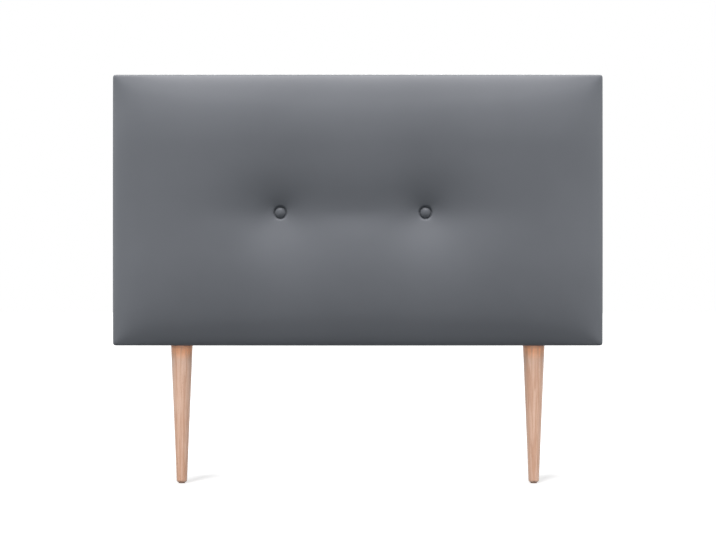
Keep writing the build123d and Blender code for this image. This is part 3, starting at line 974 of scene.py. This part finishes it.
bolt_low, bolt_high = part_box("left_leg_bolt")
machine_length = (bolt_high.z - LEG_TOP_Z) / MM
wood_length = (LEG_TOP_Z - bolt_low.z) / MM
machine_end = threaded("machine_end", *MACHINE_THREAD, machine_length)
rows = points(machine_end)
reach = np.hypot(rows[:, 0], rows[:, 1])
past = np.maximum(rows[:, 2] - (machine_length * MM - MACHINE_CHAMFER), 0)
rows[:, :2] *= np.minimum(1, (MACHINE_THREAD[0] * MM - past) / reach)[:, None]
put_points(machine_end, rows)
wood_end = threaded("wood_end", *WOOD_THREAD, wood_length)
rows = points(wood_end)
rows[:, :2] *= np.clip(rows[:, 2] / WOOD_POINT, POINT_SHARE, 1)[:, None]
put_points(wood_end, rows)
moved(wood_end, z=-wood_length * MM)
left_bolt_thread = moved(joined("left_bolt_thread", machine_end, wood_end), *leg_tops[0])
smooth(left_bolt_thread, 35)
right_bolt_thread = moved(copy_of(left_bolt_thread, "right_bolt_thread"), LEG_X[1] - LEG_X[0])
for bolt, side in ((left_bolt_thread, "left"), (right_bolt_thread, "right")):
    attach(bolt, f"{side}_bolt")
    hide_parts(f"{side}_leg_bolt")
    report(bolt)

# %% [markdown]
# ## The plates' screws
# Four small countersunk screws hold the keyhole plates, and their heads are the only fasteners
# that the back shows close up. The head is turned, and a cross of two tapered blades is cut into
# it. The finished screw is laid over to face the wall and copied to the other places.

# %% The plates' screws
# The screw's outline from the middle of its head to its point: radius and height
SCREW = (
    (0, 0), (3.6, 0), (3.9, -0.25), (2.05, -1.8), (1.5, -2.1), (1.45, -17.5), (0.3, -21.8),
    (0, -21.9),
)  # fmt: skip
SCREW_THREAD, SCREW_THREAD_LENGTH, SCREW_THREAD_END = (1.95, 1.4, 1.4), 15.0, 18.5 * MM
BLADE, BLADE_TAPER = (4.4 * MM, 0.9 * MM, 3.0 * MM), 0.35

screw_core = wound("screw_core", SCREW)
blades = []
for turn in (0, 90):
    nothing()
    bpy.ops.mesh.primitive_cube_add(size=1, rotation=(0, 0, radians(turn)), scale=BLADE)
    blade = named("blade")
    edit(blade)
    pick("VERT", lambda v: v.co.z < 0)
    move_picked(lambda co: Vector((co.x * BLADE_TAPER, co.y * BLADE_TAPER, co.z)))
    done()
    blades.append(blade)
for blade in blades:
    cut_by(screw_core, blade)
only(*blades)
bpy.ops.object.delete()
screw_thread = threaded("screw_thread", *SCREW_THREAD, SCREW_THREAD_LENGTH, sides=16)
moved(screw_thread, z=-SCREW_THREAD_END)
screw = joined("screw", screw_core, screw_thread)
rows = points(screw)
put_points(screw, np.column_stack((rows[:, 0], rows[:, 2], -rows[:, 1])))
copies = [moved(copy_of(screw, "plate_screw"), *place) for place in PLATE_SCREWS]
only(screw)
bpy.ops.object.delete()
plate_screws = joined("plate_screws", *copies)
smooth(plate_screws, 35)
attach(plate_screws, "panel")
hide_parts("hanger_screws")
report(plate_screws)

# %% [markdown]
# ## Beech
# The legs are turned beech under clear satin lacquer. Beech is pale pinkish brown, with growth
# lines that run down the leg in broad and fine streaks and, all over, the short dark flecks that
# tell it from other woods. All are noise, stretched along Z: little for the flecks and a lot for
# the streaks. Near the top, under the panel, the colour is painted orange as warm bounce light,
# and its last few millimetres are painted brown as the panel's shadow.

# %% Beech
BEECH_PALE = srgb(209, 173, 150)
BEECH_DEEP = srgb(184, 138, 109)
BEECH_FLECK = srgb(156, 108, 82)
# The orange is painted warm bounce light, and the brown is a painted shadow under the panel
BEECH_BOUNCE_LIGHT = srgb(250, 166, 106)
BEECH_PANEL_SHADOW = srgb(176, 108, 66)
# How often each pattern changes in a metre, across the leg and along it
STREAKS, LINES, FLECKS = (190.0, 190.0, 7.0), (620.0, 620.0, 12.0), (1500.0, 1500.0, 260.0)
# How far below the leg's top the painted warm bounce light and the painted shadow start and are
# full
BOUNCE_FADE, SHADOW_FADE = (34 * MM, 6 * MM), (9 * MM, MM)
BEECH_RELIEF = 0.04 * MM

beech = Finish("beech", Coat_Roughness=0.25)
streaks = beech.grain(STREAKS).step(0.4, 0.62)
lines = beech.grain(LINES, 4.0, 0.6).step(0.35, 0.68)
flecks = beech.grain(FLECKS, 1.0).step(0.6, 0.74)
wood = beech.blend(streaks * 0.6 + lines * 0.3, BEECH_PALE, BEECH_DEEP)
# Near the top: painted warm bounce light, then a painted shadow where the leg meets the panel
bounce_light, panel_shadow = (
    beech.axis("Z").step(*[LEG_TOP_Z - drop for drop in fade]) for fade in (BOUNCE_FADE, SHADOW_FADE)
)
bounce_lit = beech.blend(bounce_light * 0.85, wood, beech.blend(streaks * 0.5, BEECH_BOUNCE_LIGHT, BEECH_DEEP))
shadowed = beech.blend(panel_shadow * 0.7, bounce_lit, BEECH_PANEL_SHADOW)
beech.feed(
    Base_Color=beech.blend(flecks * 0.4, shadowed, BEECH_FLECK),
    Roughness=0.36 + lines * 0.1,
    Coat_Weight=0.3 - lines * 0.1,
)
beech.relief(1 - lines * 0.6 - flecks * 0.6, BEECH_RELIEF)
dress(beech, "left_leg", "right_leg")

# %% [markdown]
# ## Pine and hardboard
# The frame is planed softwood, sawn from the plank so that its rings show as wavering lines along
# the batten, with a knot here and there. Rails and stiles need the grain turned, so the pattern
# takes its stretch as three numbers. Hardboard is pressed fibre: brown, short flecks every way.

# %% Pine and hardboard
PINE_PALE, PINE_LATE, PINE_KNOT = srgb(232, 205, 158), srgb(206, 160, 104), srgb(120, 74, 42)
BOARD_BROWN, BOARD_DARK = srgb(126, 88, 58), srgb(96, 62, 38)
# How often the rings and the pores change in a metre, across the grain and along it
RING_RATE, PORE_RATE = (130.0, 5.0), (1700.0, 40.0)
RINGS_DEEP, KNOT_RATE = 30.0, 6.0
PINE_RELIEF, BOARD_RELIEF = 0.06 * MM, 0.05 * MM


def pine(name, along):
    """Planed pine, with its grain along one axis: 1 for that axis and 0 for the others."""
    finish = Finish(name)
    ring_rates, pore_rates = (
        [rate[lengthwise] for lengthwise in along] for rate in (RING_RATE, PORE_RATE)
    )
    rings = (finish.grain(ring_rates, 1.5, 0.4) * RINGS_DEEP).sine().step(-0.4, 0.95)
    pores = finish.grain(pore_rates).step(0.4, 0.7)
    knots = 1 - finish.cells(KNOT_RATE).step(0.06, 0.11)
    wood = finish.blend(rings * 0.65 + pores * 0.25, PINE_PALE, PINE_LATE)
    finish.feed(
        Base_Color=finish.blend(knots * 0.8, wood, PINE_KNOT),
        Roughness=0.62 + rings * 0.1,
    )
    finish.relief(1 - rings * 0.5 - pores * 0.5, PINE_RELIEF)
    return finish


dress(pine("pine_level", (1, 0, 0)), "top_rail", "bottom_rail")
dress(pine("pine_upright", (0, 0, 1)), "left_stile", "right_stile", "centre_stile")
hardboard = Finish("hardboard")
fibres = hardboard.noise(420.0, 5.0, 0.7).step(0.35, 0.7)
hardboard.feed(
    Base_Color=hardboard.blend(fibres * 0.7 + hardboard.noise(9.0) * 0.3, BOARD_BROWN, BOARD_DARK),
    Roughness=0.55 + fibres * 0.15,
)
hardboard.relief(1 - fibres, BOARD_RELIEF)
dress(hardboard, "front_board")

# %% [markdown]
# ## Metal
# Every fastener is plated steel, which is matt and faintly cloudy rather than bright. The clouds
# are slow noise in the colour and the roughness, and the marks of rolling or drawing are noise
# stretched along the piece. Yellow passivation gives the bolts their brass tint.


# %% Metal
EVERY_WAY, ROLLED = (900.0, 900.0, 900.0), (60.0, 2600.0, 2600.0)
FINE_RELIEF = 0.01 * MM


def plated(name, pale, cloud, rates, rough=0.26):
    """Plated steel whose marks change so often in a metre along each axis."""
    finish = Finish(name, Metallic=1.0)
    clouds = finish.noise(90.0, 3.0).step(0.3, 0.7)
    marks = finish.grain(rates).step(0.3, 0.7)
    finish.feed(
        Base_Color=finish.blend(clouds, pale, cloud),
        Roughness=rough + clouds * 0.12 + marks * 0.08,
    )
    finish.relief(marks, FINE_RELIEF)
    return finish


zinc = plated("zinc_steel", srgb(190, 194, 198), srgb(164, 168, 176), EVERY_WAY)
dress(
    zinc, "frame_screws", "board_staples", "cover_staples", "cloth_staples", plate_screws,
    "left_button_back", "right_button_back", "left_tee_nut", "right_tee_nut",
    "left_glide_nail", "right_glide_nail",
)  # fmt: skip
plate_steel = plated("plate_steel", srgb(150, 153, 157), srgb(126, 129, 135), ROLLED, 0.4)
dress(plate_steel, "left_hanger_plate", "right_hanger_plate")
bolt_steel = plated("bolt_steel", srgb(214, 198, 148), srgb(196, 186, 158), EVERY_WAY)
dress(bolt_steel, left_bolt_thread, right_bolt_thread)

# %% [markdown]
# ## Plastic, twine and cloth
# The glides are brown nylon, scuffed on the sole by the floor. The toggles are natural white, a
# little see-through in life and so slightly uneven in colour. The waxed twine's lay is a wave
# that climbs along it, and the back cloth is pressed with rows of small diamonds.

# %% Plastic, twine and cloth
SCUFFS, SOLE = (500.0, 1900.0, 500.0), (0.1 * MM, 0.6 * MM)
TWINE_LAY, DIAMOND_LAY = {"Y": 2600.0, "Z": 1700.0, "X": 1700.0}, 2400.0
TWINE_RELIEF, CLOTH_RELIEF = 0.15 * MM, 0.12 * MM

nylon = Finish("nylon")
scuffs = nylon.grain(SCUFFS, 3.0).step(0.52, 0.7)
sole = 1 - nylon.axis("Z").step(*SOLE)
nylon.feed(
    Base_Color=nylon.blend(scuffs * sole, srgb(112, 84, 64), srgb(148, 124, 104)),
    Roughness=0.42 + scuffs * 0.2,
)
nylon.relief(nylon.noise(2500.0), FINE_RELIEF)
dress(nylon, "left_glide", "right_glide")

toggle_plastic = Finish("toggle_plastic")
flow = toggle_plastic.noise(120.0, 2.0).step(0.3, 0.7)
toggle_plastic.feed(
    Base_Color=toggle_plastic.blend(flow, srgb(228, 226, 216), srgb(214, 211, 200)),
    Roughness=0.38 + flow * 0.1,
)
toggle_plastic.relief(toggle_plastic.noise(1800.0), FINE_RELIEF)
dress(toggle_plastic, "left_toggle", "right_toggle")

twine = Finish("twine")
lay_y, lay_z, lay_x = (twine.axis(name) * rate for name, rate in TWINE_LAY.items())
# The lay sets both the relief and the colour: its grooves are painted darker, as shade
lay_and_shade = (lay_y + lay_z + lay_x).sine().step(-1.0, 1.0)
hairs = twine.noise(3500.0, 2.0)
twine.feed(
    Base_Color=twine.blend(lay_and_shade, srgb(176, 156, 118), srgb(214, 198, 160)),
    Roughness=0.5 + hairs * 0.2,
)
twine.relief(lay_and_shade + hairs * 0.3, TWINE_RELIEF)
dress(twine, "left_twine", "right_twine")

non_woven = Finish("non_woven")
sum_axis = non_woven.axis("X") + non_woven.axis("Z")
difference_axis = non_woven.axis("X") - non_woven.axis("Z")
rows_up, rows_down = ((axis * DIAMOND_LAY).sine() for axis in (sum_axis, difference_axis))
diamonds = (rows_up * rows_down).step(0.15, 0.55)
web = non_woven.noise(700.0, 5.0, 0.75).step(0.35, 0.7)
non_woven.feed(
    Base_Color=non_woven.blend(web * 0.6 + diamonds * 0.4, srgb(44, 44, 47), srgb(72, 72, 76)),
    Roughness=0.92 - diamonds * 0.25,
)
non_woven.relief(web - diamonds, CLOTH_RELIEF)
dress(non_woven, back_sheet)

# %% [markdown]
# ## Light and floor
# The light is plain: a soft sun, high up and a little in front, weaker lamps at both sides and
# behind, a low one for the legs, and an even sky. It is set so that an upright surface shows about
# the colour that it is given. The floor is white to the camera, and throws a little light back
# up. Near the headboard its glow is dimmer, so that shadows show; behind the headboard it rises
# to white again, as painted light over the panel's own shadow. The floor has a sun of its own,
# from the front and the left, which leaves a soft shadow behind each foot. Each lamp is linked to
# what it lights: that sun to the floor alone, the low lamp to the legs alone, and the others to
# all but the floor.

# %% Light and floor
# Each sun: where it shines to, its angle, its strength and its colour
KEY_SUN = ((0.12, 0.85, -2.4), 40, 5.13, (1.0, 0.965, 0.975))
FLOOR_SUN = ((0.2, 0.85, -0.85), 10, 1.0, (1.0, 1.0, 1.0))
# Each lamp: its place, the point it looks at, its width and height, and its power
LAMPS = {
    "left_lamp": ((-2.6, -0.5, 0.9), (0, 0, 0.56), (1.2, 1.6), 16.5),
    "right_lamp": ((2.6, -0.5, 0.9), (0, 0, 0.56), (1.2, 1.6), 15.0),
    "back_lamp": ((0, 2.4, 1.5), (0, 0, 0.5), (2.0, 1.0), 34.0),
    "low_lamp": ((0, -1.3, 0.14), (0, 0, 0.14), (4.4, 0.3), 12.0),
}
SKY = 0.24


def new_light(kind, name, place, towards, strength):
    """Adds a light that shines from a place in a direction."""
    nothing()
    turn = Vector(towards).to_track_quat("-Z", "Y").to_euler()
    bpy.ops.object.light_add(type=kind, location=place, rotation=turn)
    bpy.context.object.name = name
    bpy.context.object.data.energy = strength
    return bpy.context.object.data


def lamp(name, place, aim, size, power):
    """A rectangular lamp that looks at a point."""
    data = new_light("AREA", name, place, Vector(aim) - Vector(place), power)
    data.shape = "RECTANGLE"
    data.size, data.size_y = size


def sun(name, towards, angle, strength, colour):
    """Light that falls everywhere from one side, over an angle in degrees."""
    data = new_light("SUN", name, -Vector(towards), towards, strength)
    data.angle = radians(angle)
    data.color = colour


sun("key_sun", *KEY_SUN)
for name, setting in LAMPS.items():
    lamp(name, *setting)
sun("floor_sun", *FLOOR_SUN)


def seen(sums):
    """1 where a surface is seen, straight or in a reflection, and 0 where it only gives light."""
    camera_ray, glossy_ray, through_ray = (
        sums.add("ShaderNodeLightPath", {}, name)
        for name in ("Is Camera Ray", "Is Glossy Ray", "Is Transmission Ray")
    )
    return camera_ray.either(glossy_ray.either(through_ray))


def two_faced(sums, for_light, for_eyes, output):
    """One shader for the light that a surface gives, and another for how it is seen."""
    mixed = sums.add("ShaderNodeMixShader", {0: seen(sums), 1: for_light, 2: for_eyes})
    sums.tree.links.new(mixed.socket, sums.tree.nodes[output].inputs["Surface"])


world = bpy.data.worlds.new("sky")
world.use_nodes = True
bpy.context.scene.world = world
sky = Sums(world.node_tree)
plain_sky, white_sky = (
    sky.add("ShaderNodeBackground", {"Color": (1, 1, 1, 1), "Strength": strength})
    for strength in (SKY, 1.0)
)
two_faced(sky, plain_sky, white_sky, "World Output")

FLOOR_SIZE = 40
FLOOR_LIGHT = (0.36, 0.38, 0.42, 1)
FLOOR_SHADED = (0.9, 0.9, 0.9, 1)
FLOOR_NEAR, FLOOR_FAR = (0.62, 0.62, 0.62), (1.0, 1.0, 1.0)
# Where the floor's dimmer glow near the headboard rises to white: behind it, as painted light over
# the panel's own shadow, and away from its middle
PAINTED_LIGHT_BEHIND, FADE_AWAY = (0.16, 0.34), (0.7, 1.5)
nothing()
bpy.ops.mesh.primitive_plane_add(size=FLOOR_SIZE, location=(0, 0, 0))
floor = named("floor")
floor_finish = Finish("floor")
away = floor_finish.add(
    "ShaderNodeVectorMath", {0: floor_finish.place}, "Value", operation="LENGTH"
)
# Behind the headboard the glow is painted light, over the panel's shadow on the floor
painted_light_behind = floor_finish.axis("Y").step(*PAINTED_LIGHT_BEHIND)
near_glow = floor_finish.blend(painted_light_behind, FLOOR_NEAR, FLOOR_FAR)
glow = floor_finish.blend(away.step(*FADE_AWAY), near_glow, FLOOR_FAR)
glowing = floor_finish.add("ShaderNodeEmission", {"Color": glow})
shaded = floor_finish.add("ShaderNodeBsdfDiffuse", {"Color": FLOOR_SHADED})
two_faced(
    floor_finish,
    floor_finish.add("ShaderNodeBsdfDiffuse", {"Color": FLOOR_LIGHT}),
    floor_finish.add("ShaderNodeAddShader", {0: glowing, 1: shaded}),
    "Material Output",
)
dress(floor_finish, floor)

# %% What each lamp lights
legs = [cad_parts[node] for node in ("left_leg", "right_leg", "left_glide", "right_glide")]
for light in [obj for obj in bpy.context.scene.objects if obj.type == "LIGHT"]:
    receivers = legs if light.name == "low_lamp" else [floor]
    state = "INCLUDE" if light.name in ("floor_sun", "low_lamp") else "EXCLUDE"
    only(light, *receivers)
    bpy.ops.object.light_linking_receivers_link(link_state=state)
    print(light.name, state, [obj.name for obj in receivers])

# %% [markdown]
# ## Plain colours
# The picture is shown with its plain colours.

# %% Plain colours
bpy.context.scene.view_settings.view_transform = "Standard"
